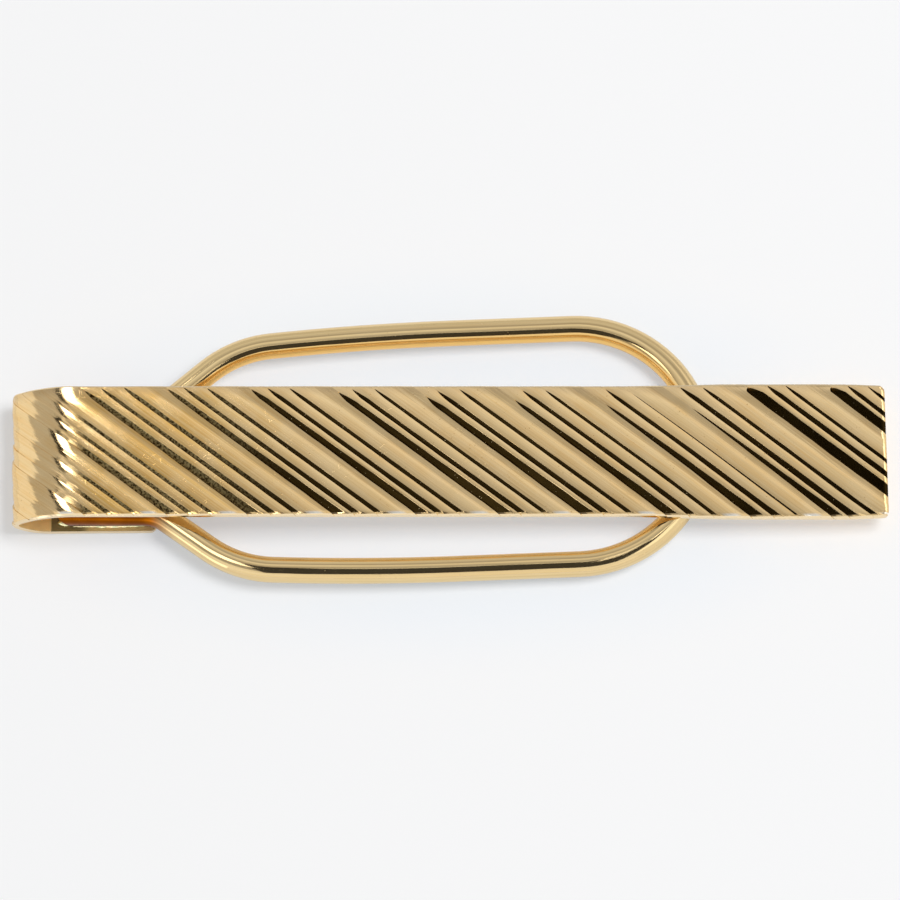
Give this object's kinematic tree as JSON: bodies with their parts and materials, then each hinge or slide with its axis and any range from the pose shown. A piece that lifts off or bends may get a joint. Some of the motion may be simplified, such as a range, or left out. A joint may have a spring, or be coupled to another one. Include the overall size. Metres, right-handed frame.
{
  "type": "tie clip",
  "caption": "Slim ribbed tie clip: a folded sheet-metal bar with a sprung round-wire loop behind it that grips the tie and shirt front.",
  "frame": {"origin": "middle of the bar's flat back face, half-way along the clip's overall length and on the bar's middle line", "axes": "+X along the bar towards its free tip, +Y across the bar, +Z out of its ribbed front face; the fold is at -X and the tongue and loop lie at -Z"},
  "size_m": [0.057, 0.0184, 0.0038],
  "materials": {
    "gold_strip": "gold-tone plate over brass sheet, polished ribs with fine handling scratches",
    "gold_wire": "gold-tone plate over drawn brass wire, polished",
    "solder": "gold-tone plate over a hard-soldered seam, uneven and slightly greenish"
  },
  "bodies": {
    "bar": {"front_bar": "gold_strip", "spring_fold": "gold_strip"},
    "back": {"back_tongue": "gold_strip", "wire_loop": "gold_wire", "solder_seams": "solder"}
  },
  "joints": [
    {"name": "loop_spring", "type": "hinge", "parent": "bar", "child": "back", "pos_m": [-0.027, 0, -0.0014], "axis": [0, 1, 0], "range_deg": [0, 5], "stiffness_Nm_per_rad": 1, "springref_deg": -1.15, "deforming": ["spring_fold"]}
  ]
}
